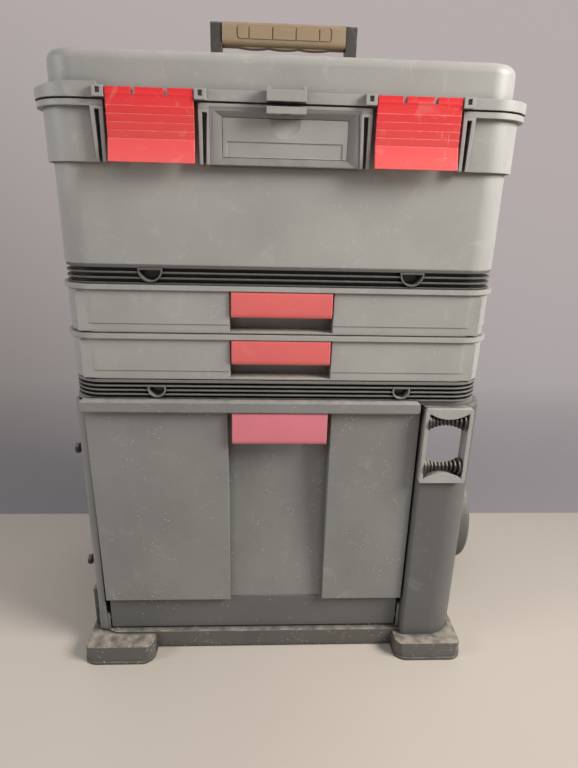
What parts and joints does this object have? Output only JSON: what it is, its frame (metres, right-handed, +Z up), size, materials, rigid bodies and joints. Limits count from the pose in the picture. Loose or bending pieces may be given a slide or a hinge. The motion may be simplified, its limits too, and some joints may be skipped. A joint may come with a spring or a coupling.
{
  "type": "portable tool box with drawers",
  "caption": "Rolling tool chest: lidded tool box on a two-drawer unit on a wheeled base with a tilting bin, a roller cord post and a telescopic pull handle.",
  "frame": {"origin": "middle of the object's footprint, on the floor", "axes": "+X to the right seen from the front, +Y to the back, +Z up"},
  "size_m": [0.652, 0.3854, 0.911],
  "materials": {
    "body_light": "moulded, scuffed",
    "body_mid": "moulded, dusty",
    "body_dark": "moulded, dusty",
    "band": "moulded, ribbed",
    "red": "semi-gloss, faded",
    "pull_red": "faded satin",
    "bin_pull_red": "faded satin",
    "steel": "zinc plated",
    "tube": "satin grey paint",
    "grip": "soft, worn",
    "post": "moulded, dusty",
    "tread": "matt, dusty",
    "roller": "ribbed"
  },
  "bodies": {
    "base_unit": {"base_tray": "body_dark", "lower_housing": "body_mid", "tool_post": "post", "roller_frame": "body_light", "roller_pins": "steel", "cord_pegs": "roller", "bin_pivot_pins": "steel", "axle_beam": "body_dark", "axle": "steel", "axle_caps": "steel", "tube_clamps": "body_dark", "clamp_screws": "steel", "outer_tubes": "steel", "tube_collars": "roller"},
    "bin": {"bin_tub": "body_mid", "bin_pull": "bin_pull_red"},
    "left_wheel": {"left_hub": "body_dark", "left_tyre": "tread"},
    "right_wheel": {"right_hub": "body_dark", "right_tyre": "tread"},
    "upper_roller": {"upper_roller": "roller"},
    "lower_roller": {"lower_roller": "roller"},
    "pull_handle": {"handle_tubes": "tube", "handle_ends": "tube", "grip_bar": "tube", "grip_sleeve": "grip"},
    "drawer_unit": {"middle_base": "band", "middle_shell": "body_mid", "middle_top": "band", "drawer_runners": "body_dark"},
    "lower_drawer": {"lower_drawer": "body_light", "lower_drawer_pull": "pull_red"},
    "upper_drawer": {"upper_drawer": "body_light", "upper_drawer_pull": "pull_red"},
    "tool_box": {"top_box": "body_light", "front_plate": "body_light", "hinge_pins": "steel"},
    "lid": {"lid": "body_light", "latch_pins": "steel", "carry_handle_pins": "steel"},
    "left_latch": {"left_latch": "red"},
    "right_latch": {"right_latch": "red"},
    "carry_handle": {"carry_handle": "roller"}
  },
  "joints": [
    {"name": "bin_tilt", "type": "hinge", "parent": "base_unit", "child": "bin", "pos_m": [-0.054, -0.14475, 0.045], "axis": [1, 0, 0], "range_deg": [0, 40]},
    {"name": "left_wheel_spin", "type": "hinge", "parent": "base_unit", "child": "left_wheel", "pos_m": [-0.309, 0.08725, 0.088], "axis": [1, 0, 0], "continuous": true},
    {"name": "right_wheel_spin", "type": "hinge", "parent": "base_unit", "child": "right_wheel", "pos_m": [0.309, 0.08725, 0.088], "axis": [1, 0, 0], "continuous": true},
    {"name": "upper_roller_spin", "type": "hinge", "parent": "base_unit", "child": "upper_roller", "pos_m": [0.197, -0.16575, 0.376], "axis": [1, 0, 0], "continuous": true},
    {"name": "lower_roller_spin", "type": "hinge", "parent": "base_unit", "child": "lower_roller", "pos_m": [0.197, -0.16575, 0.311], "axis": [1, 0, 0], "continuous": true},
    {"name": "pull_handle_slide", "type": "slide", "parent": "base_unit", "child": "pull_handle", "axis": [0, 0, 1], "range_m": [0, 0.34]},
    {"name": "drawer_unit_lift", "type": "slide", "parent": "base_unit", "child": "drawer_unit", "axis": [0, 0, 1], "range_m": [0, 0.05]},
    {"name": "lower_drawer_slide", "type": "slide", "parent": "drawer_unit", "child": "lower_drawer", "axis": [0, -1, 0], "range_m": [0, 0.15]},
    {"name": "upper_drawer_slide", "type": "slide", "parent": "drawer_unit", "child": "upper_drawer", "axis": [0, -1, 0], "range_m": [0, 0.15]},
    {"name": "tool_box_lift", "type": "slide", "parent": "drawer_unit", "child": "tool_box", "axis": [0, 0, 1], "range_m": [0, 0.05]},
    {"name": "lid_hinge", "type": "hinge", "parent": "tool_box", "child": "lid", "pos_m": [-0.024, 0.11125, 0.7485], "axis": [-1, 0, 0], "range_deg": [0, 90]},
    {"name": "left_latch_swing", "type": "hinge", "parent": "lid", "child": "left_latch", "pos_m": [-0.168, -0.17375, 0.75], "axis": [-1, 0, 0], "range_deg": [0, 110]},
    {"name": "right_latch_swing", "type": "hinge", "parent": "lid", "child": "right_latch", "pos_m": [0.12, -0.17375, 0.75], "axis": [-1, 0, 0], "range_deg": [0, 110]},
    {"name": "carry_handle_fold", "type": "hinge", "parent": "lid", "child": "carry_handle", "pos_m": [-0.024, 0.00025, 0.787], "axis": [-1, 0, 0], "range_deg": [0, 90]}
  ]
}
